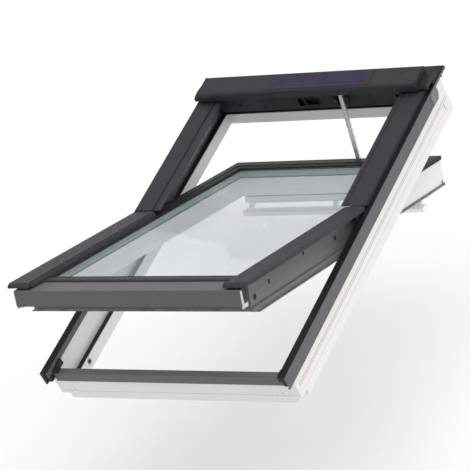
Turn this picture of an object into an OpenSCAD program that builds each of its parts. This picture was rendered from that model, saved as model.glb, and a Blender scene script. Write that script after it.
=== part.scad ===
// Centre-pivot roof window with an electric chain opener and a solar casing.
// X runs across the window, Y up the roof slope and Z out of the roof.
// The origin is the middle of the sill's screw holes, on the sill's outer face.

/* [Window] */
// Width over the side claddings
window_w = 780; // [640:1:1000]
// Length over the claddings, from the lower to the upper end
window_l = 1178; // [1020:1:1450]
// Angle that the sash stands open
open_angle = 26.16; // [15:0.01:26.16]

/* [Frame] */
// Step from the side cladding's face in to the white frame
frame_inset = 6; // [4:0.5:9]
// Step from the lower cladding end in to the sill
sill_setback = 28; // [22:1:34]
// Step from the upper cladding end in to the head member
head_setback = 36; // [30:1:44]
// Depth of the frame members below the cladding face
frame_depth = 104; // [100:1:118]
// Depth down to the room edge of the frame
room_depth = 124; // [120:1:140]
// Thickness of the frame's outer wall
wall_t = 14.7; // [12:0.1:16]
// Width of the gasket ledge inside the wall
ledge_w = 17.7; // [15:0.1:19]
// Depth of the gasket ledge
ledge_depth = 89; // [87:0.5:95]
// Thickness of the head member at the ledge
head_t = 28.5; // [26:0.5:34]
// Length of the corner block at each lower end
corner_l = 47; // [40:1:60]

/* [Cladding] */
// Depth of the side cladding
clad_depth = 41; // [34:1:48]
// Sheet thickness of the metal covers
sheet_t = 1.5; // [1:0.1:2]
// Width of the cladding's top face
clad_w = 22.2; // [19:0.1:22.2]
// Height of the upper covers above the cladding
cover_rise = 11.8; // [11:0.1:15]
// Width of the flat top of the covers
cover_flat = 56.5; // [50:0.5:58]
// Step from the cladding face in to the covers
cover_inset = 13.5; // [12:0.5:16]
// Depth of the lower cover's front
sill_cover_h = 29; // [24:1:34]
// Drop of the lower cover below the cladding face
sill_cover_drop = 22.5; // [21:0.5:24]

/* [Sash] */
// Distance of the pivot from the lower cladding end
pivot_y = 600; // [560:1:640]
// Depth of the pivot below the cladding face
pivot_drop = 10; // [9:0.5:11]
// Gap between the upper sash and the frame's ledge
sash_gap = 8.6; // [7:0.1:12]
// Width of the weather lip round the upper sash
lip_w = 3; // [2:0.5:4]
// Width of the sash members
sash_t = 39; // [34:0.5:44]
// Depth of the sash members below the pivot
sash_depth = 75; // [70:0.5:75]
// Gap between the sash's front and the sill wall
front_gap = 5.3; // [4.5:0.1:8]
// Width of the lower sash member
sash_sill_t = 40; // [36:0.5:46]
// Thickness of the metal skins on the lower sash
skin_t = 3.4; // [2:0.1:4]
// Gap between the sash's top end and the head member
head_gap = 26.5; // [22:0.5:30]
// Width of the upper sash member
sash_head_t = 57; // [52:0.5:64]
// Depth of the front flap's face
flap_h = 40; // [34:1:46]
// Distance of the front flap ahead of the sash
flap_reach = 60; // [54:1:62]

/* [Glass] */
// Thickness of each pane
pane_t = 4; // [3:0.5:4.5]
// Thickness of the whole glass unit
glass_t = 24; // [22:0.5:24]
// Height of the glass face above the pivot
glass_rise = 3; // [2:0.5:4]
// How far the glass reaches into the sash members
glass_cover = 15; // [12:0.5:16]

/* [Opener] */
// Place of the chain across the window
chain_x = 72; // [40:1:120]
// Width of the drive's housing
drive_w = 366; // [330:1:400]
// Pitch of the chain
chain_pitch = 10; // [8:0.5:12]
// Thickness of the chain
chain_w = 12; // [9:0.5:13]

/* [Casing] */
// Half width of the top casing
casing_half = 361; // [340:1:372]
// Height of the top casing above the cladding
casing_rise = 46; // [42:0.5:52]
// Length of the top casing up the slope
casing_l = 75; // [70:1:82]
// Length of the solar panel across
panel_l = 353; // [300:1:370]

/* [Locks] */
// Radius of the cleaning bolts
bolt_r = 4; // [3:0.1:5]
// Travel of the cleaning bolts
bolt_travel = 16; // [14:0.5:18]
// Running clearance of pins in their bores
run_gap = 0.05; // [0.02:0.01:0.09]
// Opening angle at which the cleaning bolts lock
clean_angle = 156; // [150:0.5:160]

/* [Hidden] */
$fn = 48;

// Frame, measured from the lower cladding end and the cladding face
half_w = window_w / 2;
body_x = half_w - frame_inset;
inner_x = body_x - wall_t;
clear_x = inner_x - ledge_w;
sill_in = sill_setback + wall_t;
clear_y0 = sill_in + ledge_w;
head_out = window_l - head_setback;
clear_y1 = head_out - head_t;
screw_depth = 88.5;
sill_screw_x = half_w - 58;
gasket_h = 3;

// Covers
cover_x = half_w - cover_inset;
flat_x = cover_x - cover_flat;
bead_x = flat_x - 24;
rail_x = inner_x - sheet_t;
split_y = pivot_y + 10.6;
casing_y1 = clear_y1 + 12;
casing_y0 = casing_y1 - casing_l;

// Sash, measured from the pivot in the plane of the sash
sash_x = clear_x - sash_gap - lip_w;
glass_x = sash_x - sash_t;
lip_y = sill_in + front_gap - pivot_y;
lip_t = 4;
front_y = lip_y + lip_t;
glass_y0 = front_y + sash_sill_t;
sash_y1 = clear_y1 - head_gap - pivot_y;
glass_y1 = sash_y1 - sash_head_t;
glass_low = glass_rise - glass_t;
sash_cover_z = cover_rise + pivot_drop;
bead_z = glass_rise + 7;
skin_x = sash_x + skin_t;
skin_y1 = -12;
flap_y = lip_y - flap_reach;

// Hinge: the link turns about the pivot, the arc about the covers' edge
turn_z = sash_cover_z + 3;
pin_r = 6;
arc_r = 38;
arc_half = 4;
arc_x0 = skin_x + 2;
arc_x1 = arc_x0 + 5;
link_x1 = inner_x - sheet_t - 4.3;
link_x0 = link_x1 - 4;
arc_from = -164;
arc_to = -24;

// Opener: the chain leaves the sprocket's front and runs straight to the sash
sprocket_r = chain_pitch / (2 * sin(30));
sprocket_y = clear_y1 + 4;
sprocket_z = -16;
roller_r = 3.4;
chain_top_y = sprocket_y - sprocket_r;
chain_end_y = sash_y1 + 10;
chain_end_z = -24;
end_pin_r = 2.4;
drive_x0 = chain_x - 275;
drive_x1 = drive_x0 + drive_w;
plate_y = clear_y1 - 1.5;

// Cleaning bolts, and the place where they lock
bolt_y = sash_y1 - 11;
bolt_z = -62;
corner_y = pivot_y + turn_z * sin(open_angle);
corner_z = -pivot_drop + turn_z * cos(open_angle);
lock_y = corner_y + bolt_y * cos(clean_angle) + (bolt_z - turn_z) * sin(clean_angle);
lock_z = corner_z - bolt_y * sin(clean_angle) + (bolt_z - turn_z) * cos(clean_angle);

// Ventilation flap, seen along the sash's top member
flap_pin_y = sash_y1 - 8;
flap_pin_z = -sash_depth - 8;
flap_pin_r = 2.5;
flap_hinge_x = [-glass_x + 70, 0, glass_x - 70];

module at_face() {
    translate([0, -sill_setback, screw_depth]) children();
}

module on_sash() {
    at_face() translate([0, pivot_y, -pivot_drop]) rotate([-open_angle, 0, 0]) children();
}

module on_side(side) {
    mirror([side < 0 ? 1 : 0, 0, 0]) children();
}

// An outline of x and z, run from y0 to y1
module along_y(y0, y1) {
    translate([0, y1, 0]) rotate([90, 0, 0]) linear_extrude(y1 - y0) children();
}

// An outline of y and z, run from x0 to x1
module along_x(x0, x1) {
    translate([x0, 0, 0]) rotate([90, 0, 90]) linear_extrude(x1 - x0) children();
}

module block(x0, x1, y0, y1, z0, z1) {
    translate([x0, y0, z0]) cube([x1 - x0, y1 - y0, z1 - z0]);
}

module rod_x(x0, x1, y, z, r) {
    translate([x0, y, z]) rotate([0, 90, 0]) cylinder(h = x1 - x0, r = r);
}

module rod_y(x, y0, y1, z, r) {
    translate([x, y1, z]) rotate([90, 0, 0]) cylinder(h = y1 - y0, r = r);
}

module rod_z(x, y, z0, z1, r) {
    translate([x, y, z0]) cylinder(h = z1 - z0, r = r);
}

module frame_sill() {
    groove = 1.2;
    color("white") at_face() difference() {
        union() {
            along_x(-body_x, body_x) polygon([
                [sill_setback, -frame_depth], [clear_y0, -frame_depth], [clear_y0, -ledge_depth],
                [sill_in, -ledge_depth], [sill_in, -sill_cover_drop - sheet_t],
                [sill_setback, -sill_cover_drop - sheet_t]]);
            block(-half_w + 31, half_w - 31, sill_setback + 1, clear_y0, -room_depth, -frame_depth + 1);
        }
        block(-body_x - 1, body_x + 1, sill_setback - 1, sill_setback + groove, -96.6, -95.4);
        for (side = [-1, 1]) {
            rod_y(side * sill_screw_x, sill_setback - 1, sill_setback + 12, -screw_depth, 2.5);
            rod_y(side * (half_w - 36), sill_setback - 1, sill_setback + 8, -screw_depth, 1.5);
            rod_y(side * (half_w - 80.5), sill_setback - 1, sill_setback + 8, -99.4, 1.5);
        }
    }
}

module frame_head() {
    color("white") at_face() along_x(-body_x, body_x) polygon([
        [clear_y1, -room_depth], [head_out, -room_depth], [head_out, -sheet_t],
        [head_out - 11, -sheet_t], [head_out - 11, -ledge_depth], [clear_y1, -ledge_depth]]);
}

module frame_side(side) {
    groove = 1.2;
    color("white") at_face() on_side(side) difference() {
        union() {
            block(inner_x, body_x, sill_in, head_out - 11, -ledge_depth, -sheet_t);
            block(clear_x, body_x, clear_y0, clear_y1, -room_depth, -ledge_depth);
        }
        block(body_x - groove, body_x + 1, sill_in - 1, head_out, -68.6, -67.4);
        block(body_x - groove, body_x + 1, clear_y0 - 1, head_out, -96.6, -95.4);
        rod_x(body_x - 12, body_x + 1, 106, -50, 2);
        rod_x(body_x - 12, body_x + 1, 129, -64, 2);
        rod_x(clear_x - 1, clear_x + 14, lock_y, lock_z, bolt_r + 3);
        rod_x(clear_x - 1, clear_x + 8, clear_y1 - 43, -109.5, 2.5);
    }
}

// A gasket strip on the ledge, open towards the pivot
module ledge_gasket(y0, y1, at_head) {
    strip = 12;
    edge = clear_x + 2;
    color("#1c1c1f") at_face() difference() {
        block(-edge - strip, edge + strip, y0, y1, -ledge_depth, -ledge_depth + gasket_h);
        block(-edge, edge, at_head ? y0 - 1 : y0 + strip, at_head ? y1 - strip : y1 + 1,
            -ledge_depth - 1, -ledge_depth + gasket_h + 1);
    }
}

module upper_frame_gasket() {
    ledge_gasket(split_y, clear_y1 + 14, true);
}

module lower_frame_gasket() {
    ledge_gasket(sill_in + 2, split_y - 2, false);
}

module sill_cover() {
    t = sheet_t;
    face = sill_setback - 6;
    top = -sill_cover_drop;
    low = top - sill_cover_h;
    color("#6b6a6e") at_face() along_x(-inner_x + 0.8, inner_x - 0.8) polygon([
        [face, low], [sill_setback, low], [sill_setback, low + t], [face + t, low + t],
        [face + t, top - t], [sill_in - 1, top - t], [sill_in - 1, top], [face, top]]);
}

module head_cover() {
    t = sheet_t;
    color("#4a4a4d") at_face() along_x(-inner_x + 2, inner_x - 2) polygon([
        [casing_y1 + 1.5, -t], [window_l - t, -t], [window_l - t, -clad_depth],
        [window_l, -clad_depth], [window_l, 0], [casing_y1 + 1.5, 0]]);
}

module cladding(side) {
    t = sheet_t;
    top_x = half_w - clad_w;
    color("#6b6a6e") at_face() on_side(side) difference() {
        along_y(0, window_l) polygon([
            [top_x, 0], [half_w, 0], [half_w, -clad_depth], [body_x, -clad_depth],
            [body_x, -clad_depth + t], [half_w - t, -clad_depth + t], [half_w - t, -t],
            [inner_x, -t], [inner_x, -18], [top_x, -18]]);
        block(top_x - 1, inner_x + 0.1, head_out - 11.5, window_l + 1, -19, -t);
        along_x(body_x - 1, half_w + 1) polygon([
            [window_l + 1, -9], [casing_y0 + 49, -9], [casing_y0 + 47, -28],
            [casing_y0 + 38, -clad_depth - 1], [window_l + 1, -clad_depth - 1]]);
    }
}

module upper_cover(side) {
    t = sheet_t;
    h = cover_rise;
    bead = flat_x - 8;
    color("#46464a") at_face() on_side(side) difference() {
        along_y(split_y, casing_y0 + 45) polygon([
            [cover_x, 0], [cover_x, h], [flat_x, h], [flat_x - 1, h - 3.5], [flat_x - 6, h - 3.5],
            [bead, h - 0.5], [bead - 5, h - 0.5], [bead_x + 5, h - 2], [bead_x + 1, h - 5],
            [bead_x, h - 7.5], [bead_x + t, h - 7.5], [bead_x + 2.5, h - 5.6], [bead_x + 5.8, h - 3.5],
            [bead - 4.6, h - 2], [bead - 0.8, h - 2], [flat_x - 7, h - 5], [flat_x + 0.3, h - 5],
            [flat_x + 1.2, h - t], [cover_x - t, h - t], [cover_x - t, 0]]);
        rod_x(bead_x - 5, cover_x + 1, pivot_y, -pivot_drop, sash_cover_z + 0.8);
    }
}

module corner_plates() {
    low = -clad_depth;
    color("#8a8a8e") at_face() for (side = [-1, 1]) on_side(side)
        along_x(half_w, half_w + sheet_t) polygon([
            [casing_y0 + 2, low], [casing_y0 + 38, low], [casing_y0 + 47, -28],
            [casing_y0 + 49, -8], [casing_y0 + 46, -4], [casing_y0 + 5.5, -4]]);
}

module corner_blocks() {
    plug_x = inner_x + 0.5;
    wall = half_w - sheet_t;
    top = -sill_cover_drop;
    lug_x = half_w - clad_w - 0.5;
    color("#232326") at_face() for (side = [-1, 1]) on_side(side) {
        block(plug_x, wall - 0.3, 8, sill_setback - 0.5, -clad_depth + sheet_t, -sheet_t);
        block(skin_x + 9, plug_x + 1, sill_setback - 6, sill_setback - 1, top, top + 4);
        block(skin_x + 9, lug_x, sill_setback - 5, sill_in, top, top + 8);
        block(lug_x - 5, lug_x, sill_in, sill_setback - 6 + corner_l, top - 8, top + 10);
    }
}

module side_rail(side) {
    color("#9a9a9e") at_face() on_side(side)
        block(rail_x, inner_x, pivot_y + 46, head_out - 12, -ledge_depth + 1, -18.2);
}

module bolt_sockets() {
    color("#77777a") at_face() for (side = [-1, 1]) on_side(side) difference() {
        union() {
            rod_x(clear_x, clear_x + 14, lock_y, lock_z, bolt_r + 3);
            rod_x(clear_x - 1, clear_x, lock_y, lock_z, bolt_r + 4.5);
        }
        rod_x(clear_x - 2, clear_x + 12, lock_y, lock_z, bolt_r + 1);
    }
}

module head_plate() {
    t = sheet_t;
    low = -78;
    edge = rail_x - 7;
    color("#6e6e72") at_face() difference() {
        union() {
            block(-edge, edge, plate_y, head_out - 11, low, low + t);
            block(-edge, drive_x0 - 2, plate_y, plate_y + t, low, 10);
            block(drive_x1 + 2, edge, plate_y, plate_y + t, low, 10);
        }
        rod_y(-286, plate_y - 1, plate_y + 3, -52, 7);
        rod_y(248, plate_y - 1, plate_y + 3, -47, 7);
    }
}

module top_casing() {
    t = sheet_t;
    top = casing_rise;
    lip = casing_y0;
    low = top - 27.4;
    color("#5a5a5e") at_face() {
        along_x(-casing_half, casing_half) polygon([
            [casing_y1, 0], [casing_y1, top], [lip + 8, top], [lip + 4, top - 1.2],
            [lip + 1.2, top - 4.5], [lip, top - 9], [lip, top - 14.5], [lip + 1.5, top - 15.5],
            [lip + 1.5, low], [lip + 8, low], [lip + 8, low + t], [lip + 1.5 + t, low + t],
            [lip + 1.5 + t, top - 16.2], [lip + t, top - 15.2], [lip + t, top - 9],
            [lip + 2.5, top - 5.3], [lip + 4.9, top - 2.6], [lip + 8, top - t],
            [casing_y1 - t, top - t], [casing_y1 - t, 0]]);
        block(-casing_half, casing_half, casing_y1, casing_y1 + 14, 0, t);
    }
}

module casing_end(side) {
    cap_x = half_w - 3;
    back = casing_y1 + 14;
    over = cover_rise + 0.4;
    color("#2b2b2e") at_face() on_side(side) {
        along_x(casing_half, casing_half + 3) polygon([
            [casing_y1, sheet_t], [casing_y1, casing_rise + 1], [casing_y0 + 7, casing_rise + 0.6],
            [casing_y0, casing_rise - 8], [casing_y0 - 0.5, casing_rise - 15],
            [casing_y0 + 2, casing_rise - 29], [casing_y0 + 47, casing_rise - 29],
            [casing_y0 + 47, sheet_t]]);
        along_x(casing_half + 2, cap_x) polygon([
            [casing_y0 + 12, over], [casing_y0 + 9, over + 8], [casing_y0 + 18, over + 14],
            [casing_y0 + 40, over + 16], [back, over + 10], [back, sheet_t],
            [casing_y0 + 48, sheet_t], [casing_y0 + 48, over]]);
        block(casing_half, cap_x, casing_y0 + 48, back, 0, sheet_t);
        block(casing_half, cap_x + 1.5, back, window_l - 12, 0, 4);
    }
}

module solar_panel() {
    x0 = chain_x - 213;
    top = casing_rise;
    color("#3b3350") at_face()
        block(x0, x0 + panel_l, casing_y0 + 9, casing_y1 - 6, top, top + 0.8);
}

module drive_housing() {
    wall = 2;
    low = -76.5;
    front = clear_y1 - 1.5;
    back = head_out - 11.5;
    nose = casing_y0 + 33;
    rear = casing_y1 - 2.5;
    top = casing_rise - 9;
    color("#3c3c3f") at_face() difference() {
        along_x(drive_x0, drive_x1) polygon([
            [back, low], [front, low], [front, 2], [nose, 6], [nose, top], [rear, top],
            [rear, -2], [back, -6]]);
        along_x(drive_x0 + wall, drive_x1 - wall) polygon([
            [back - wall, low + wall], [front + wall, low + wall], [front + wall, 3.8],
            [nose + wall, 7.8], [nose + wall, top - wall], [rear - wall, top - wall],
            [rear - wall, -3.2], [back - wall, -7.2]]);
        block(chain_x - 17, chain_x + 17, front - 1, front + wall + 0.5, -36, -5);
        block(drive_x0 + 119, drive_x0 + 137, front - 1, front + 3, -66, -36);
        block(drive_x0 + 143, drive_x0 + 189, front - 1, front + 3, -64, -38);
    }
}

module drive_motor() {
    y = casing_y0 + 54;
    z = casing_rise - 24;
    color("#8c8c90") at_face() {
        rod_x(chain_x - 136, chain_x - 32, y, z, 11);
        rod_x(chain_x - 142, chain_x - 136, y, z, 4);
        block(chain_x - 32, chain_x - 16.5, y - 18, y + 15, z - 12, z + 12.5);
        block(chain_x - 28, chain_x - 16.5, y + 10.5, y + 15, sprocket_z - 8, z);
    }
}

module battery_pack() {
    y = casing_y0 + 53;
    z = casing_rise - 23.6;
    color("#2f4f6a") at_face()
        block(drive_x0 + 10, drive_x0 + 118, y - 16, y + 15, z - 14.6, z + 10);
}

module chain_guide() {
    back = head_out - 14.2;
    cheek = chain_w / 2 + 5;
    color("#1e1e20") at_face() difference() {
        block(chain_x - 16, chain_x + 16, chain_top_y - 8, back, -33, -8);
        block(chain_x - cheek, chain_x + cheek, chain_top_y - 9, back + 1, -29, -7);
        block(chain_x - cheek, chain_x + cheek, chain_top_y - 9, chain_top_y + 6, -34, -20);
        rod_x(chain_x - 17, chain_x + 17, sprocket_y, sprocket_z, 3 + run_gap);
    }
}

module sprocket() {
    color("#b0b0b4") at_face() {
        rod_x(chain_x - 15.5, chain_x + 15.5, sprocket_y, sprocket_z, 3);
        difference() {
            rod_x(chain_x - 2, chain_x + 2, sprocket_y, sprocket_z, sprocket_r + 0.4);
            for (i = [0:5]) {
                a = 180 + i * 60;
                rod_x(chain_x - 3, chain_x + 3, sprocket_y + sprocket_r * cos(a),
                    sprocket_z + sprocket_r * sin(a), roller_r + 0.3);
            }
        }
    }
}

module chain() {
    end_y = pivot_y + chain_end_y * cos(open_angle) + chain_end_z * sin(open_angle);
    end_z = -pivot_drop - chain_end_y * sin(open_angle) + chain_end_z * cos(open_angle);
    run = norm([end_y - chain_top_y, end_z - sprocket_z]);
    count = floor(run / chain_pitch);
    lean = atan2(end_y - chain_top_y, sprocket_z - end_z);
    half = chain_w / 2;
    depth = 3.6;
    color("#c9cacc") at_face() translate([chain_x, chain_top_y, sprocket_z]) rotate([lean, 0, 0]) {
        for (i = [0:count - 1]) {
            rod_x(-half, half, 0, -i * chain_pitch, roller_r);
            block(-half, -half + 1.4, -depth, depth, -(i + 1) * chain_pitch, -i * chain_pitch);
            block(half - 1.4, half, -depth, depth, -(i + 1) * chain_pitch, -i * chain_pitch);
        }
        rod_x(-half, half, 0, -count * chain_pitch, roller_r);
        block(-half, half, -depth, depth, -run, -count * chain_pitch);
        rod_x(-half - 4, half + 4, 0, -run, end_pin_r);
    }
}

// The frame's pivot plate, with the bore that carries the link's pin
module pivot_plate(side) {
    t = 3.5;
    x0 = rail_x - t;
    color("#8f8f93") at_face() on_side(side) difference() {
        union() {
            block(x0, rail_x, pivot_y - 40, pivot_y + 40, -60, -2);
            block(rail_x, inner_x, pivot_y - 40, pivot_y + 40, -60, -18.3);
        }
        rod_x(x0 - 1, inner_x + 1, pivot_y, -pivot_drop, pin_r + run_gap);
    }
}

// The link turns on the frame and holds the arc in a short guide
module hinge_link(side) {
    guide = arc_from - 4;
    span = 16;
    inner_r = arc_r - arc_half - 0.3;
    outer_r = arc_r + arc_half + 0.3;
    color("#76767a") on_sash() on_side(side) {
        rod_x(link_x0, rail_x - 0.3, 0, 0, pin_r);
        rod_x(link_x0, link_x1, 0, 0, 9);
        block(link_x0, link_x1, -34, 0, -4, 9);
        translate([link_x0, 0, turn_z]) rotate([90, 0, 90])
            ring_piece(inner_r - 4, outer_r + 4, guide, span, link_x1 - link_x0);
        translate([arc_x0 + 0.3, 0, turn_z]) rotate([90, 0, 90]) {
            ring_piece(outer_r, outer_r + 4, guide, span, link_x0 - arc_x0 + 0.5);
            ring_piece(inner_r - 4, inner_r, guide, span, link_x0 - arc_x0 + 0.5);
        }
    }
}

// A stretch of a flat ring about the origin, of the given height
module ring_piece(r0, r1, from, span, h) {
    rotate([0, 0, from]) rotate_extrude(angle = span) translate([r0, 0]) square([r1 - r0, h]);
}

// The sash's arc slides through the link's guide when the sash is turned over
module hinge_arc(side) {
    span = arc_to - arc_from;
    color("#a3a3a7") on_sash() on_side(side) {
        translate([arc_x0, 0, turn_z]) rotate([90, 0, 90])
            ring_piece(arc_r - arc_half, arc_r + arc_half, arc_from, span, arc_x1 - arc_x0);
        for (a = [-45, -60, -75])
            rod_x(sash_x, arc_x0 + 2, arc_r * cos(a), turn_z + arc_r * sin(a), arc_half - 0.8);
        block(sash_x, arc_x0 - 1.2, 16, 44, -26, -5);
    }
}

module sash_sill() {
    room = -sash_depth;
    rebate = glass_x + glass_cover;
    color("white") on_sash() difference() {
        along_x(-sash_x, sash_x) polygon([
            [front_y, glass_rise], [front_y, room + 12], [front_y + 2, room],
            [glass_y0 - 3, room], [glass_y0, room + 3], [glass_y0, glass_rise]]);
        block(-rebate, rebate, glass_y0 - glass_cover, glass_y0 + 1, glass_low, glass_rise + 1);
    }
}

module sash_head() {
    room = -sash_depth;
    rebate = glass_x + glass_cover;
    color("white") on_sash() difference() {
        along_x(-sash_x, sash_x) polygon([
            [sash_y1, glass_rise], [sash_y1, room], [glass_y1 + 3, room],
            [glass_y1, room + 3], [glass_y1, glass_rise]]);
        block(-rebate, rebate, glass_y1 - 1, glass_y1 + glass_cover, glass_low, glass_rise + 1);
        for (side = [-1, 1]) on_side(side) {
            rod_x(sash_x - 40, sash_x + 1, bolt_y, bolt_z, bolt_r + run_gap);
            block(sash_x - 34, sash_x - 27 + bolt_travel, bolt_y - 3, bolt_y + 3, room - 1, bolt_z);
        }
    }
}

module sash_side(side) {
    room = -sash_depth;
    rebate = glass_x + glass_cover;
    color("white") on_sash() on_side(side) along_y(glass_y0, glass_y1) polygon([
        [sash_x, glass_rise], [sash_x, room], [glass_x + 3, room], [glass_x, room + 3],
        [glass_x, glass_low], [rebate, glass_low], [rebate, glass_rise]]);
}

// A pane that fills the rebate between z0 and z0 + pane_t
module pane(z0) {
    edge = glass_cover - 0.5;
    block(-glass_x - edge, glass_x + edge, glass_y0 - edge, glass_y1 + edge, z0, z0 + pane_t);
}

module outer_pane() {
    color("#cfe3e6", 0.4) on_sash() pane(glass_rise - pane_t);
}

module inner_pane() {
    color("#d5e6e8", 0.4) on_sash() pane(glass_low);
}

module spacer() {
    edge = glass_cover - 0.5;
    bar = 12;
    color("#2a3036") on_sash() difference() {
        block(-glass_x - edge, glass_x + edge, glass_y0 - edge, glass_y1 + edge,
            glass_low + pane_t, glass_rise - pane_t);
        block(-glass_x - edge + bar, glass_x + edge - bar, glass_y0 - edge + bar, glass_y1 + edge - bar,
            glass_low + pane_t - 1, glass_rise - pane_t + 1);
    }
}

module glazing_gasket() {
    color("#17171a") on_sash() difference() {
        block(-glass_x - 7, glass_x + 7, glass_y0 - 7, glass_y1 + 14, glass_rise, glass_rise + 4.5);
        block(-glass_x, glass_x, glass_y0, glass_y1 + 7, glass_rise - 1, glass_rise + 6);
    }
}

// Half an outline round the upper sash, open at the pivot
module upper_ring(x0, x1, y_low, head_in, head_out_y, z0, z1) {
    difference() {
        block(-x1, x1, y_low, head_out_y, z0, z1);
        block(-x0, x0, y_low - 1, head_in, z0 - 1, z1 + 1);
    }
}

module upper_bead() {
    color("#3d3d41") on_sash() {
        upper_ring(glass_x + 22, sash_x - 0.5, 12, glass_y1 + 28, sash_y1 - 0.5, glass_rise, bead_z);
        upper_ring(glass_x + 7.3, glass_x + 23, 12, glass_y1 + 14.3, glass_y1 + 29, glass_rise, bead_z - 2);
    }
}

module sash_lip() {
    slot = chain_w / 2 + 1.5;
    color("#121214") on_sash() difference() {
        upper_ring(sash_x, sash_x + lip_w, 48, sash_y1, sash_y1 + lip_w, 0, bead_z + 0.5);
        block(chain_x - slot, chain_x + slot, sash_y1 - 1, chain_end_y + 1, -1, bead_z + 1);
    }
}

module sash_cover(side) {
    t = sheet_t;
    top = sash_cover_z;
    thin = cover_x - cover_flat - 5;
    seat = glass_rise + 4.5;
    nose = flap_y + 2;
    color("#46464a") on_sash() on_side(side) difference() {
        union() {
            along_y(nose + 14, -0.2) polygon([
                [cover_x, top - 11.3], [cover_x, top], [thin, top], [thin - 1, top - 2.3],
                [thin - 2, top - 2.3], [thin - 3, top - 1.3], [thin - 7, top - 3.8],
                [thin - 9.5, top - 9], [thin - 10, seat], [thin - 8.5, seat],
                [thin - 8, top - 9.4], [thin - 5.8, top - 5], [thin - 2.6, top - 3],
                [thin - 2, top - 3.9], [thin + 0.2, top - 3.9], [thin + 1.2, top - t],
                [cover_x - t, top - t], [cover_x - t, top - 11.3]]);
            along_x(thin - 8, cover_x) polygon([
                [nose + 14, top], [nose + 8, top - 1.6], [nose + 3, top - 5.5], [nose, top - 11.3],
                [nose + 14, top - 11.3]]);
        }
        block(thin - 20, cover_x + 1, -4, 1, 0, top - t);
    }
}

module sash_channel(side) {
    foot = 12;
    color("#8b8a8d") on_sash() on_side(side) difference() {
        union() {
            block(sash_x, skin_x, lip_y, skin_y1, -sash_depth + 15, glass_rise);
            block(sash_x, sash_x + 1.5, lip_y, skin_y1, -sash_depth, -sash_depth + 16);
            block(sash_x, sash_x + foot, lip_y + 2, skin_y1, -sash_depth + 0.5, -sash_depth + 13);
        }
        for (place = [[-458, -26], [-282, -11], [-121, -25]]) {
            rod_x(skin_x - 2.5, skin_x + 1, place[0] - 2, place[1] + 2, 3.6);
            rod_x(skin_x - 2.5, skin_x + 1, place[0] + 2, place[1] - 2, 3.6);
        }
        rod_x(skin_x - 2.5, skin_x + 1, -532, -41, 8);
    }
}

// Rubber strips on the sash: beside the lower and upper halves, and under the lower edge
module sash_seals() {
    foot = 12;
    color("#141416") on_sash() {
        for (side = [-1, 1]) on_side(side) {
            block(sash_x + foot, sash_x + foot + 10, lip_y + 4, skin_y1, -sash_depth - 0.5, -sash_depth + 2);
            block(sash_x, sash_x + 2.5, 60, sash_y1, -sash_depth + 1, -sash_depth + 8);
        }
        block(-sash_x + 1, sash_x - 1, lip_y + 1, front_y, -sash_depth + 1, -sash_depth + 8.5);
    }
}

module front_lip() {
    color("#77777b") on_sash()
        block(-sash_x, sash_x, lip_y, front_y, -sash_depth + 9, glass_rise);
}

module front_flap() {
    t = sheet_t;
    half = casing_half - 4;
    top = glass_rise + t;
    color("#6a696d") on_sash() along_x(-half, half) polygon([
        [flap_y, top - flap_h - 4], [flap_y + t, top - flap_h - 4], [flap_y + t, top - 4],
        [flap_y + 2.5, glass_rise], [front_y + 3, glass_rise], [front_y + 3, top],
        [flap_y + 1.5, top], [flap_y, top - 2.5]]);
}

module sill_bead() {
    color("#3d3d41") on_sash() along_x(-glass_x - 3, glass_x + 3) polygon([
        [front_y + 6, glass_rise], [glass_y0 - 7.3, glass_rise], [glass_y0 - 7.3, glass_rise + 4.5],
        [glass_y0 - 12, glass_rise + 6], [front_y + 10, glass_rise + 6], [front_y + 6, glass_rise + 3]]);
}

module corner_clips() {
    t = 1.5;
    half = casing_half - 6;
    color("#c4c6c8") on_sash() for (side = [-1, 1]) on_side(side) {
        block(half - 1, half + t, flap_y + sheet_t, flap_y + 11, -36, glass_rise + sheet_t - 4);
        block(half - 1, half + t, flap_y + sheet_t, flap_y + 28, -46, -35);
        block(half - 10, half + t, flap_y + 12, flap_y + 28, -46, -44.5);
    }
}

// The bracket on the sash's top end; the chain's last pin drops into its open hooks
module chain_bracket() {
    half = chain_w / 2 + 1;
    seat_r = end_pin_r + run_gap;
    color("#7d7d81") on_sash() difference() {
        union() {
            block(chain_x - half - 3, chain_x + half + 3, sash_y1, sash_y1 + 3, -46, -7);
            block(chain_x - half - 3, chain_x - half, sash_y1, chain_end_y + 5, -30, -12);
            block(chain_x + half, chain_x + half + 3, sash_y1, chain_end_y + 5, -30, -12);
        }
        rod_x(chain_x - 20, chain_x + 20, chain_end_y, chain_end_z, seat_r);
        block(chain_x - 20, chain_x + 20, chain_end_y - seat_r, chain_end_y + seat_r, chain_end_z, -6);
    }
}

// The flap lies under the sash's top member; its hinge rod runs along the far edge
module vent_flap() {
    room = -sash_depth;
    color("#eeeeee") on_sash() difference() {
        along_x(-glass_x, glass_x) polygon([
            [glass_y1 + 1, room - 2], [sash_y1 - 2, room - 2], [sash_y1 - 2, room - 14],
            [sash_y1 - 14, room - 22], [glass_y1 + 12, room - 25], [glass_y1 + 4, room - 22],
            [glass_y1, room - 15], [glass_y1, room - 5]]);
        block(-glass_x + 20, glass_x - 20, glass_y1 + 12, glass_y1 + 34, room - 16, room - 1);
        for (x = flap_hinge_x) {
            block(x - 3.5, x + 3.5, flap_pin_y - 8, sash_y1, room - 17, room - 1);
            rod_x(x - 13, x + 13, flap_pin_y, flap_pin_z, flap_pin_r + run_gap);
        }
    }
}

// Lugs under the sash's top member, with the pins that the flap turns on
module flap_hinges() {
    room = -sash_depth;
    color("#b4b4b8") on_sash() for (x = flap_hinge_x) {
        block(x - 2.5, x + 2.5, flap_pin_y - 4, flap_pin_y + 4, flap_pin_z - 3, room);
        rod_x(x - 12.5, x + 12.5, flap_pin_y, flap_pin_z, flap_pin_r);
    }
}

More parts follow.
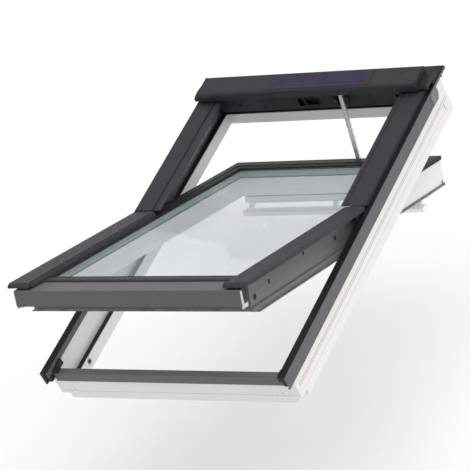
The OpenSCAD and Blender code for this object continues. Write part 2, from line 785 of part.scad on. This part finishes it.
module bar_posts() {
    room = -sash_depth;
    color("#e6e6e6") on_sash() for (x = [-glass_x + 12, 0, glass_x - 24])
        translate([x, 0, 0]) along_x(0, 12) polygon([
            [glass_y1 + 4, room - 22], [glass_y1 + 12, room - 25], [glass_y1 + 22, room - 24.2],
            [glass_y1 + 8, room - 34], [glass_y1 + 2, room - 38], [glass_y1 - 10, room - 38]]);
}

module control_bar() {
    room = -sash_depth;
    color("#f2f2f2") on_sash() along_x(-glass_x - 2, glass_x + 2) polygon([
        [glass_y1 - 22, room - 44], [glass_y1 - 16, room - 38], [glass_y1 + 6, room - 38],
        [glass_y1 + 10, room - 42], [glass_y1 + 10, room - 50], [glass_y1 + 4, room - 56],
        [glass_y1 - 12, room - 58], [glass_y1 - 20, room - 54]]);
}

module cleaning_bolt(side) {
    room = -sash_depth;
    color("#a8a8ac") on_sash() on_side(side) {
        rod_x(sash_x - 38, sash_x + 1.5, bolt_y, bolt_z, bolt_r);
        rod_z(sash_x - 30.5, bolt_y, room - 1, bolt_z, 2.5);
    }
}

frame_sill();
frame_head();
frame_side(-1);  // frame_side_left
frame_side(1);  // frame_side_right
upper_frame_gasket();
lower_frame_gasket();
sill_cover();
cladding(-1);  // cladding_left
cladding(1);  // cladding_right
upper_cover(-1);  // upper_cover_left
upper_cover(1);  // upper_cover_right
corner_plates();
corner_blocks();
side_rail(-1);  // side_rail_left
side_rail(1);  // side_rail_right
bolt_sockets();
head_plate();
head_cover();
top_casing();
casing_end(-1);  // casing_end_left
casing_end(1);  // casing_end_right
solar_panel();
drive_housing();
drive_motor();
battery_pack();
chain_guide();
sprocket();
chain();
pivot_plate(-1);  // pivot_plate_left
pivot_plate(1);  // pivot_plate_right
hinge_link(-1);  // hinge_link_left
hinge_link(1);  // hinge_link_right
hinge_arc(-1);  // hinge_arc_left
hinge_arc(1);  // hinge_arc_right
sash_sill();
sash_head();
sash_side(-1);  // sash_side_left
sash_side(1);  // sash_side_right
outer_pane();
inner_pane();
spacer();
glazing_gasket();
sash_lip();
sash_cover(-1);  // sash_cover_left
sash_cover(1);  // sash_cover_right
sash_channel(-1);  // sash_channel_left
sash_channel(1);  // sash_channel_right
front_flap();
front_lip();
sill_bead();
upper_bead();
corner_clips();
chain_bracket();
sash_seals();
flap_hinges();
vent_flap();
control_bar();
bar_posts();
cleaning_bolt(-1);  // cleaning_bolt_left
cleaning_bolt(1);  // cleaning_bolt_right
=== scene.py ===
import math

import bmesh
import bpy
from mathutils import Matrix, Vector


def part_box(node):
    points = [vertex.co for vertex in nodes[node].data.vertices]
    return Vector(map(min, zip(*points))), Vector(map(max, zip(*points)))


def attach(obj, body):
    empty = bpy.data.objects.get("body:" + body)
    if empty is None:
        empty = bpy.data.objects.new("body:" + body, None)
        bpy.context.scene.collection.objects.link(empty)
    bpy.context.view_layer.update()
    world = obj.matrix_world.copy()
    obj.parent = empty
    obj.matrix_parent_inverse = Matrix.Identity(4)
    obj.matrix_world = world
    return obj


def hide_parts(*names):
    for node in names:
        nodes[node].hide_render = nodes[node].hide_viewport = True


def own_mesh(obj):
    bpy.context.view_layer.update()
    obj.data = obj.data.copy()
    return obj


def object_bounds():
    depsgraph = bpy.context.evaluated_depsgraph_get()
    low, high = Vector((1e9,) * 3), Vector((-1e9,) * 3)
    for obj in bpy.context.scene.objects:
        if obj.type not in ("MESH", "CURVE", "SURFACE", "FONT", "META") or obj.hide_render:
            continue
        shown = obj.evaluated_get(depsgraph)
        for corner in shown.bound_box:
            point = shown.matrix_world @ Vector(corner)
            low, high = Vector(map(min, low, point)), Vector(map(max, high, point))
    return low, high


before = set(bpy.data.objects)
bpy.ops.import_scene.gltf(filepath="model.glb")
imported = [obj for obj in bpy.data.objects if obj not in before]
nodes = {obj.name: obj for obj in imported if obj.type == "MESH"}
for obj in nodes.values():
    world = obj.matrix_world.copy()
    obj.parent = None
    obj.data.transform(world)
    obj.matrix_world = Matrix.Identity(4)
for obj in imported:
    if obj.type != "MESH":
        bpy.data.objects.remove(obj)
cad_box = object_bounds()

# All lengths are in metres, in the row frame: +X right as seen from outside, +Y up the slope, +Z outward.


# ---- materials ----

def tree(name):
    """A new material with one Principled shader: the material, its tree and the shader."""
    m = bpy.data.materials.new(name)
    m.use_nodes = True
    nt = m.node_tree
    nt.nodes.clear()
    out = nt.nodes.new("ShaderNodeOutputMaterial")
    sh = nt.nodes.new("ShaderNodeBsdfPrincipled")
    nt.links.new(sh.outputs[0], out.inputs["Surface"])
    return m, nt, sh


def coords(nt):
    return nt.nodes.new("ShaderNodeTexCoord").outputs["Object"]


def stretched(nt, source, scale):
    mp = nt.nodes.new("ShaderNodeMapping")
    mp.inputs["Scale"].default_value = scale
    nt.links.new(source, mp.inputs["Vector"])
    return mp.outputs["Vector"]


def noise(nt, source, scale, detail=3.0, rough=0.5):
    n = nt.nodes.new("ShaderNodeTexNoise")
    n.inputs["Scale"].default_value = scale
    n.inputs["Detail"].default_value = detail
    n.inputs["Roughness"].default_value = rough
    nt.links.new(source, n.inputs["Vector"])
    return n.outputs["Fac"]


def spread(nt, source, lo, hi, out_lo, out_hi):
    r = nt.nodes.new("ShaderNodeMapRange")
    r.inputs["From Min"].default_value = lo
    r.inputs["From Max"].default_value = hi
    r.inputs["To Min"].default_value = out_lo
    r.inputs["To Max"].default_value = out_hi
    nt.links.new(source, r.inputs["Value"])
    return r.outputs["Result"]


def ramp(nt, source, stops):
    r = nt.nodes.new("ShaderNodeValToRGB")
    el = r.color_ramp.elements
    el[0].position, el[0].color = stops[0][0], stops[0][1]
    el[1].position, el[1].color = stops[-1][0], stops[-1][1]
    for place, colour in stops[1:-1]:
        e = el.new(place)
        e.color = colour
    nt.links.new(source, r.inputs["Fac"])
    return r.outputs["Color"]


def bump(nt, sh, height, distance, strength=1.0):
    b = nt.nodes.new("ShaderNodeBump")
    b.inputs["Distance"].default_value = distance
    b.inputs["Strength"].default_value = strength
    nt.links.new(height, b.inputs["Height"])
    nt.links.new(b.outputs["Normal"], sh.inputs["Normal"])


def mix(nt, factor, a, b):
    m = nt.nodes.new("ShaderNodeMix")
    m.data_type = "RGBA"
    nt.links.new(factor, m.inputs["Factor"])
    for value, socket in ((a, m.inputs[6]), (b, m.inputs[7])):
        if isinstance(value, tuple):
            socket.default_value = value
        else:
            nt.links.new(value, socket)
    return m.outputs[2]


def shade(colour, k):
    return (colour[0] * k, colour[1] * k, colour[2] * k, 1.0)


def painted_edge_highlight(nt, base, highlight_tone, amount=0.5):
    """A painted highlight: a paler tone along the edges, from the curvature of the surface."""
    geo = nt.nodes.new("ShaderNodeNewGeometry")
    edge = spread(nt, geo.outputs["Pointiness"], 0.51, 0.6, 0.0, amount)
    return mix(nt, edge, base, highlight_tone)


def coated(name, colour, rough=0.42, grain=0.00006, coat=0.0, mottle=0.06):
    """Painted or lacquered sheet: a fine orange peel, faint clouds and a painted highlight along the edges."""
    m, nt, sh = tree(name)
    c = coords(nt)
    cloud = noise(nt, c, 14.0, 4.0)
    tone = ramp(nt, cloud, [(0.3, shade(colour, 1.0 - mottle)), (0.7, shade(colour, 1.0 + mottle))])
    nt.links.new(painted_edge_highlight(nt, tone, shade(colour, 1.7), 0.35), sh.inputs["Base Color"])
    dust = noise(nt, c, 60.0, 3.0)
    nt.links.new(spread(nt, dust, 0.3, 0.7, rough - 0.05, rough + 0.07), sh.inputs["Roughness"])
    sh.inputs["Specular IOR Level"].default_value = 0.22
    sh.inputs["Coat Weight"].default_value = coat
    sh.inputs["Coat Roughness"].default_value = 0.25
    bump(nt, sh, noise(nt, c, 900.0, 2.0), grain, 0.6)
    return m


def lacquer(name, colour, along, rough=0.38):
    """White lacquer over timber: a faint grain that runs along the member."""
    m, nt, sh = tree(name)
    c = coords(nt)
    grain = noise(nt, stretched(nt, c, along), 60.0, 5.0, 0.6)
    cloud = noise(nt, c, 9.0, 3.0)
    tone = ramp(nt, cloud, [(0.3, shade(colour, 0.975)), (0.7, shade(colour, 1.0))])
    nt.links.new(tone, sh.inputs["Base Color"])
    nt.links.new(spread(nt, grain, 0.3, 0.7, rough - 0.05, rough + 0.08), sh.inputs["Roughness"])
    sh.inputs["Specular IOR Level"].default_value = 0.4
    bump(nt, sh, grain, 0.00012, 0.35)
    return m


def rubber(name, colour):
    """Dull rubber or plastic."""
    m, nt, sh = tree(name)
    c = coords(nt)
    tone = ramp(nt, noise(nt, c, 40.0, 4.0), [(0.35, shade(colour, 0.8)), (0.7, shade(colour, 1.5))])
    nt.links.new(tone, sh.inputs["Base Color"])
    nt.links.new(spread(nt, noise(nt, c, 200.0), 0.3, 0.7, 0.55, 0.75), sh.inputs["Roughness"])
    bump(nt, sh, noise(nt, c, 1500.0), 0.00005, 0.5)
    return m


def zinc(name, colour, rough=0.35, spangle=True):
    """Galvanised metal with a fine spangle, or plain metal with a coarse, cloudy one."""
    m, nt, sh = tree(name)
    c = coords(nt)
    flakes = nt.nodes.new("ShaderNodeTexVoronoi")
    flakes.inputs["Scale"].default_value = 320.0 if spangle else 90.0
    nt.links.new(c, flakes.inputs["Vector"])
    sep = nt.nodes.new("ShaderNodeSeparateColor")
    nt.links.new(flakes.outputs["Color"], sep.inputs["Color"])
    tone = ramp(nt, sep.outputs[0], [(0.0, shade(colour, 0.8)), (1.0, shade(colour, 1.2))])
    # Painted highlight: a paler tone along the edges.
    nt.links.new(painted_edge_highlight(nt, tone, shade(colour, 1.6), 0.3), sh.inputs["Base Color"])
    nt.links.new(spread(nt, noise(nt, c, 90.0), 0.3, 0.7, rough - 0.08, rough + 0.12), sh.inputs["Roughness"])
    sh.inputs["Metallic"].default_value = 0.85
    bump(nt, sh, noise(nt, c, 500.0), 0.00008, 0.4)
    return m


def speckled(name, colour):
    """A coarse, speckled coating on sheet metal."""
    m, nt, sh = tree(name)
    c = coords(nt)
    fleck = noise(nt, c, 650.0, 3.0, 0.7)
    tone = ramp(nt, fleck, [(0.35, shade(colour, 0.55)), (0.65, shade(colour, 1.6))])
    # Painted highlight: a paler tone along the edges.
    nt.links.new(painted_edge_highlight(nt, tone, shade(colour, 2.2), 0.4), sh.inputs["Base Color"])
    nt.links.new(spread(nt, fleck, 0.3, 0.7, 0.5, 0.7), sh.inputs["Roughness"])
    sh.inputs["Specular IOR Level"].default_value = 0.3
    bump(nt, sh, fleck, 0.00025, 0.6)
    return m


def glass(name, tint, alpha):
    """A clear pane: mostly see-through, with a light tint and a faint haze."""
    m, nt, sh = tree(name)
    c = coords(nt)
    sh.inputs["Roughness"].default_value = 0.03
    sh.inputs["IOR"].default_value = 1.5
    sh.inputs["Specular IOR Level"].default_value = 0.6
    haze = noise(nt, c, 5.0, 3.0)
    tone = ramp(nt, haze, [(0.3, shade(tint, 0.97)), (0.7, shade(tint, 1.0))])
    nt.links.new(tone, sh.inputs["Base Color"])
    nt.links.new(spread(nt, haze, 0.2, 0.8, alpha - 0.02, alpha + 0.02), sh.inputs["Alpha"])
    return m


def multiply(nt, a, b):
    """a times b, where b is a socket or a number."""
    k = nt.nodes.new("ShaderNodeMath")
    k.operation = "MULTIPLY"
    nt.links.new(a, k.inputs[0])
    if isinstance(b, float):
        k.inputs[1].default_value = b
    else:
        nt.links.new(b, k.inputs[1])
    return k.outputs[0]


def between(nt, value, lo, hi, soft):
    """1 where lo < value < hi, 0 outside, with an edge of 2 x soft."""
    above = spread(nt, value, lo - soft, lo + soft, 0.0, 1.0)
    below = spread(nt, value, hi - soft, hi + soft, 1.0, 0.0)
    return multiply(nt, above, below)


def axis_of(nt, which):
    """One of X, Y and Z of the row frame."""
    sep = nt.nodes.new("ShaderNodeSeparateXYZ")
    nt.links.new(coords(nt), sep.inputs[0])
    return sep.outputs[which]


def stripes(nt, value, pitch, share, soft=0.03):
    """1 on a thin line at every pitch, share being the line's part of the pitch."""
    f = nt.nodes.new("ShaderNodeMath")
    f.operation = "FRACT"
    nt.links.new(multiply(nt, value, 1.0 / pitch), f.inputs[0])
    return spread(nt, f.outputs[0], 1.0 - share - soft, 1.0 - share, 0.0, 1.0)


def cells(name, dark):
    """Solar cells: violet strips with thin seams, inside a plain dark border."""
    cells_x0, cells_x1 = -0.117, 0.190
    cell_w, cell_l = 0.0110, 0.0135
    border, edge = 0.003, 0.0004
    m, nt, sh = tree(name)
    x = axis_of(nt, "X")
    y = axis_of(nt, "Y")
    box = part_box("solar_panel")
    cloud = noise(nt, coords(nt), 30.0, 4.0)
    tone = ramp(nt, cloud, [(0.3, (0.024, 0.012, 0.046, 1)), (0.7, (0.036, 0.019, 0.066, 1))])
    tone = mix(nt, stripes(nt, x, cell_w, 0.10), tone, (0.060, 0.040, 0.085, 1))
    tone = mix(nt, stripes(nt, y, cell_l, 0.06), tone, (0.058, 0.040, 0.08, 1))
    wide = between(nt, x, cells_x0, cells_x1, edge)
    high = between(nt, y, box[0][1] + border, box[1][1] - border, edge)
    nt.links.new(mix(nt, multiply(nt, wide, high), dark, tone), sh.inputs["Base Color"])
    sh.inputs["Roughness"].default_value = 0.3
    sh.inputs["Specular IOR Level"].default_value = 0.25
    return m


def lines_on(m, marks):
    """Thin lines on a finished material, each one a colour between limits of the row frame's axes."""
    edge = 0.00015
    nt = m.node_tree
    sh = [n for n in nt.nodes if n.bl_idname == "ShaderNodeBsdfPrincipled"][0]
    link = sh.inputs["Base Color"].links[0]
    tone = link.from_socket
    axes = {k: axis_of(nt, k) for k in ("X", "Y", "Z")}
    for colour, spans in marks:
        k = None
        for axis, lo, hi in spans:
            one = between(nt, axes[axis], lo, hi, edge)
            k = one if k is None else multiply(nt, k, one)
        tone = mix(nt, k, tone, colour)
    nt.links.new(tone, sh.inputs["Base Color"])
    return m


WHITE = (0.80, 0.80, 0.795)
RED = (0.50, 0.07, 0.06, 1)
BLUE = (0.16, 0.22, 0.62, 1)
GROOVE_SHADE = (0.42, 0.42, 0.43, 1)
SEAM = (0.010, 0.010, 0.012, 1)
OUTER_SIDE = ("X", 0.3836, 0.39)
# Painted shade: the grey lines stand in for the shade inside the outer side's shallow grooves. The red and
# blue lines are printed marks, and the seam is a joint.
SIDE_MARKS = [
    (RED, [OUTER_SIDE, ("Z", 0.0119, 0.0133)]),
    (GROOVE_SHADE, [OUTER_SIDE, ("Z", 0.0168, 0.0178)]),
    (RED, [OUTER_SIDE, ("Z", 0.0194, 0.0204)]),
    (GROOVE_SHADE, [OUTER_SIDE, ("Z", -0.0082, -0.0074)]),
    (BLUE, [OUTER_SIDE, ("Z", 0.0440, 0.0449), ("Y", 1.088, 1.113)]),
    (SEAM, [OUTER_SIDE, ("Z", -0.009, 0.0125), ("Y", 1.0745, 1.0765)]),
]
# Painted shade: the cladding's upward-facing top flange is coloured near black, darker than its sides of the
# same lacquer.
TOP_FACE_SHADE = [((0.010, 0.010, 0.011, 1), [("Z", 0.0878, 0.0900)])]
HOOD_SEAMS = [
    (SEAM, [("X", -0.1414, -0.1404)]),
    (SEAM, [("X", 0.2114, 0.2124)]),
    (SEAM, [("X", 0.2996, 0.3004)]),
]
MATS = {
    "white_x": lacquer("white_lacquer_across", WHITE, (1.0, 14.0, 14.0)),
    "white_y": lacquer("white_lacquer_along", WHITE, (14.0, 1.0, 14.0)),
    "side_right": lines_on(
        lacquer("white_lacquer_marked", WHITE, (14.0, 1.0, 14.0)), SIDE_MARKS),
    "bar": coated("white_bar_paint", (0.80, 0.80, 0.81), 0.34, 0.00003, coat=0.2, mottle=0.02),
    "cladding": lines_on(
        coated("cladding_lacquer_shaded_top", (0.098, 0.096, 0.102), 0.5, 0.00005, mottle=0.05), TOP_FACE_SHADE),
    "sill_clad": coated("sill_lacquer", (0.105, 0.103, 0.108), 0.5, 0.00005, mottle=0.05),
    "skin": speckled("speckled_skin", (0.135, 0.130, 0.135)),
    "seal": rubber("grey_seal", (0.13, 0.13, 0.135, 1)),
    # Painted shade: the white vent flap is coloured a darker blue-grey, for the shade it sits in behind the
    # glass.
    "flap": coated("flap_lacquer_shaded", (0.60, 0.62, 0.65), 0.4, 0.00004, mottle=0.02),
    "cover": coated("cover_lacquer", (0.030, 0.0285, 0.0345), 0.5, 0.00005, mottle=0.08),
    "casing": lines_on(
        coated("casing_lacquer", (0.030, 0.0285, 0.0345), 0.5, 0.00005, mottle=0.08), HOOD_SEAMS),
    "face": coated("sash_face_lacquer", (0.098, 0.096, 0.103), 0.5, 0.00005, mottle=0.05),
    "plain": zinc("mill_metal", (0.20, 0.20, 0.205), 0.5, False),
    "black": rubber("black_plastic", (0.010, 0.010, 0.011, 1)),
    "rubber": rubber("gasket_rubber", (0.006, 0.006, 0.007, 1)),
    "steel": zinc("hinge_steel", (0.22, 0.22, 0.225), 0.4, False),
    "zinc": zinc("galvanised_steel", (0.52, 0.53, 0.54), 0.36),
    "chain": zinc("chain_steel", (0.62, 0.63, 0.64), 0.45),
    "battery": coated("battery_case", (0.03, 0.05, 0.09), 0.4),
    "solar": cells("solar_cells", (0.030, 0.0285, 0.0345, 1)),
    "glass_out": glass("outer_glass", (0.24, 0.30, 0.36), 0.17),
    "glass_in": glass("inner_glass", (0.24, 0.30, 0.36), 0.09),
    "spacer": coated("spacer_bar", (0.25, 0.32, 0.31), 0.4),
}

USE = {
    "white_x": ["frame_sill", "frame_head", "sash_sill", "sash_head"],
    "side_right": ["frame_side_right"],
    "white_y": ["frame_side_left", "sash_side_left", "sash_side_right"],
    "bar": ["control_bar", "bar_posts"],
    "rubber": ["upper_frame_gasket", "lower_frame_gasket", "glazing_gasket", "sash_lip"],
    "cladding": ["cladding_left", "cladding_right"],
    "sill_clad": ["sill_cover"],
    "skin": ["sash_channel_left", "sash_channel_right"],
    "seal": ["sash_seals"],
    "flap": ["vent_flap"],
    "face": ["front_flap", "front_lip"],
    "casing": ["top_casing"],
    "cover": ["upper_cover_left", "upper_cover_right", "sash_cover_left", "sash_cover_right",
              "head_cover", "sill_bead", "upper_bead", "head_plate"],
    "plain": ["side_rail_left", "side_rail_right",
              "corner_plates", "drive_motor"],
    "black": ["corner_blocks", "casing_end_left", "casing_end_right", "drive_housing", "chain_guide"],
    "steel": ["pivot_plate_left", "pivot_plate_right", "hinge_link_left", "hinge_link_right",
              "hinge_arc_left", "hinge_arc_right", "chain_bracket", "cleaning_bolt_left",
              "cleaning_bolt_right", "flap_hinges", "bolt_sockets"],
    "zinc": ["corner_clips", "chain", "sprocket"],
    "battery": ["battery_pack"],
    "solar": ["solar_panel"],
    "glass_out": ["outer_pane"],
    "glass_in": ["inner_pane"],
    "spacer": ["spacer"],
}
for kind, names in USE.items():
    for name in names:
        o = nodes[name]
        o.data.materials.clear()
        o.data.materials.append(MATS[kind])


# ---- pieces made here ----

def prism(bm, outline, x0, x1):
    """A solid between x0 and x1 from points (y, z)."""
    near = [bm.verts.new((x0, y, z)) for y, z in outline]
    far = [bm.verts.new((x1, y, z)) for y, z in outline]
    n = len(outline)
    bm.faces.new(list(reversed(near)))
    bm.faces.new(far)
    for i in range(n):
        k = (i + 1) % n
        bm.faces.new((near[i], near[k], far[k], far[i]))


def piece(name, bm, material, body):
    """The mesh as an object that rides on a body."""
    bmesh.ops.recalc_face_normals(bm, faces=bm.faces)
    mesh = bpy.data.meshes.new(name)
    bm.to_mesh(mesh)
    bm.free()
    mesh.materials.append(material)
    o = bpy.data.objects.new(name, mesh)
    bpy.context.scene.collection.objects.link(o)
    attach(o, body)
    return o


CHAIN_X = 0.072
CHAIN_TOP = Vector((CHAIN_X, 1.0795, 0.0725))
CHAIN_END = Vector((CHAIN_X, 1.00745, -0.16225))
RUN = (CHAIN_END - CHAIN_TOP).length
ALONG = (CHAIN_END - CHAIN_TOP).normalized()
ACROSS = Vector((0, ALONG.z, -ALONG.y))


def beside(s, t):
    """A point of the chain's plane: s along the chain, t to its side, as (y, z)."""
    p = CHAIN_TOP + ALONG * s + ACROSS * t
    return (p.y, p.z)


def capsule(s0, s1, r, steps=6):
    """The outline of a link plate with round ends, or a round where s0 and s1 are the same."""
    skip = 1 if s0 == s1 else 0
    out = []
    for i in range(steps + 1):
        a = math.pi * i / steps
        out.append(beside(s0 - r * math.sin(a), r * math.cos(a)))
    for i in range(skip, steps + 1 - skip):
        a = math.pi * i / steps
        out.append(beside(s1 + r * math.sin(a), -r * math.cos(a)))
    return out


def across_chain(bm, outline, half):
    prism(bm, outline, CHAIN_X - half, CHAIN_X + half)


PITCH = 0.010
COUNT = int(RUN / PITCH)
PLATE_T = 0.0008
INNER_PLATE_X = 0.0047
OUTER_STEP = 0.0009
PLATE_R = 0.0037
FILL_GAP, FILL_R, FILL_HALF = 0.001, 0.0030, 0.0046
PIN_R, PIN_HALF = 0.0015, 0.0069
END_R, END_HALF = 0.0036, 0.0060
HOOK_PIN_R, HOOK_PIN_HALF = 0.0024, 0.0098

bm = bmesh.new()
for i in range(COUNT):
    a, b = i * PITCH, (i + 1) * PITCH
    step = 0.0 if i % 2 else OUTER_STEP
    for side in (-1, 1):
        x0 = CHAIN_X + side * (INNER_PLATE_X + step)
        prism(bm, capsule(a, b, PLATE_R), x0, x0 + side * PLATE_T)
    across_chain(bm, capsule(a + FILL_GAP, b - FILL_GAP, FILL_R), FILL_HALF)
for i in range(COUNT + 1):
    across_chain(bm, capsule(i * PITCH, i * PITCH, PIN_R), PIN_HALF)
across_chain(bm, capsule(COUNT * PITCH, RUN, END_R), END_HALF)
across_chain(bm, capsule(RUN, RUN, HOOK_PIN_R), HOOK_PIN_HALF)
links = piece("drive_chain", bm, MATS["chain"], "frame")
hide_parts("chain")
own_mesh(links)

# The fins at the chain's outlet: each one's two faces across the chain, and how far down the chain it reaches.
FIN_TOP = 0.004
FINS = [(-0.0165, -0.0130, 0.050), (0.0130, 0.0165, 0.048),
        (0.0190, 0.0215, 0.034), (-0.0225, -0.0200, 0.030)]
bm = bmesh.new()
for x0, x1, reach in FINS:
    one_side = [(FIN_TOP, 0.007), (reach * 0.5, 0.0065), (reach - 0.005, 0.0035)]
    outline = [beside(down, -out) for down, out in one_side]
    outline.append(beside(reach, 0.0))
    outline += [beside(down, out) for down, out in reversed(one_side)]
    prism(bm, outline, CHAIN_X + x0, CHAIN_X + x1)
piece("chain_outlet_fins", bm, MATS["black"], "frame")

PIVOT_Y = 0.572
PIVOT_Z = 0.0785
TILT = math.radians(26.16)


def on_sash(y, z):
    """A point of the sash, from its own plane into the row frame, as (y, z)."""
    c, k = math.cos(TILT), math.sin(TILT)
    return (PIVOT_Y + y * c + z * k, PIVOT_Z - y * k + z * c)


def oval(y, z, ry, rz, steps=20):
    """An oval in the sash's side plane, round the point (y, z) of the sash."""
    turns = [2 * math.pi * i / steps for i in range(steps)]
    return [on_sash(y + ry * math.cos(a), z + rz * math.sin(a)) for a in turns]


# Painted shade: flat black discs for the dark insides of the side channels' slots, a little proud, and of the
# round hole, set back in it.
SKIN_T = 0.0034
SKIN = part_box("sash_channel_right")[0][0] + SKIN_T
SLOTS = [(-0.458, -0.026, 0.0052, 0.0068), (-0.282, -0.011, 0.0052, 0.0062),
         (-0.121, -0.025, 0.0052, 0.0068)]
ROUND_HOLE = (-0.532, -0.041, 0.0076, 0.0076)
bm = bmesh.new()
for side in (-1, 1):
    for slot in SLOTS:
        prism(bm, oval(*slot), side * (SKIN - 0.0004), side * (SKIN + 0.0002))
    prism(bm, oval(*ROUND_HOLE), side * (SKIN - 0.0030), side * (SKIN - 0.0010))
piece("skin_slot_shade_discs", bm, MATS["black"], "sash")


# ---- camera, floor and light ----

# The camera's axes and place were fitted about the frame's lower cladding corner: RIGHT, DOWN and AHEAD are
# its axes, SHIFT is that corner as the camera sees it, and FOCAL is in pixels of a 470 pixel wide picture.
WIDTH_PX = 470.0
SENSOR = 36.0
SILL = 0.028
DEEP = 0.0885
RIGHT = Vector((0.8292, 0.3878, -0.4025))
DOWN = Vector((-0.0135, -0.706, -0.7081))
AHEAD = Vector((-0.5588, 0.5926, -0.5801))
FOCAL = 2708.05
SHIFT = Vector((-0.1999, 0.3664, 7.0294))

place = -(RIGHT * SHIFT.x + DOWN * SHIFT.y + AHEAD * SHIFT.z)
place = place + Vector((0, -SILL, DEEP))
turn = Matrix((RIGHT, -DOWN, -AHEAD)).transposed().to_4x4()
turn = turn.to_quaternion().to_matrix().to_4x4()
lens = bpy.data.cameras.new("view")
lens.sensor_width = SENSOR
lens.lens = FOCAL * SENSOR / WIDTH_PX
lens.clip_end = 60
eye = bpy.data.objects.new("view", lens)
bpy.context.scene.collection.objects.link(eye)
eye.matrix_world = Matrix.Translation(place) @ turn
bpy.context.scene.camera = eye

FLOOR_DROP = 0.5
FLOOR_HALF = 30
floor_z = cad_box[0][2] - FLOOR_DROP
corners = [(-1, -1), (1, -1), (1, 1), (-1, 1)]
mesh = bpy.data.meshes.new("floor")
mesh.from_pydata([(FLOOR_HALF * x, FLOOR_HALF * y, floor_z) for x, y in corners], [], [(0, 1, 2, 3)])
floor = bpy.data.objects.new("floor", mesh)
bpy.context.scene.collection.objects.link(floor)
m, nt, sh = tree("pale_floor")
cloud = noise(nt, coords(nt), 2.0, 2.0)
tone = ramp(nt, cloud, [(0.3, (0.90, 0.90, 0.90, 1)), (0.7, (0.92, 0.92, 0.92, 1))])
nt.links.new(tone, sh.inputs["Base Color"])
sh.inputs["Roughness"].default_value = 0.9
sh.inputs["Specular IOR Level"].default_value = 0.1
mesh.materials.append(m)

world = bpy.data.worlds.new("studio")
world.use_nodes = True
bg = world.node_tree.nodes["Background"]
bg.inputs["Color"].default_value = (1.0, 1.0, 1.0, 1)
bg.inputs["Strength"].default_value = 0.62
bpy.context.scene.world = world
bpy.context.scene.view_settings.view_transform = "Standard"


SUN_FROM = Vector((0.45, 0.25, 0.9))
data = bpy.data.lights.new("key", "SUN")
data.angle = math.radians(60)
data.energy = 1.85
key = bpy.data.objects.new("key", data)
bpy.context.scene.collection.objects.link(key)
key.rotation_euler = SUN_FROM.to_track_quat("Z", "Y").to_euler()
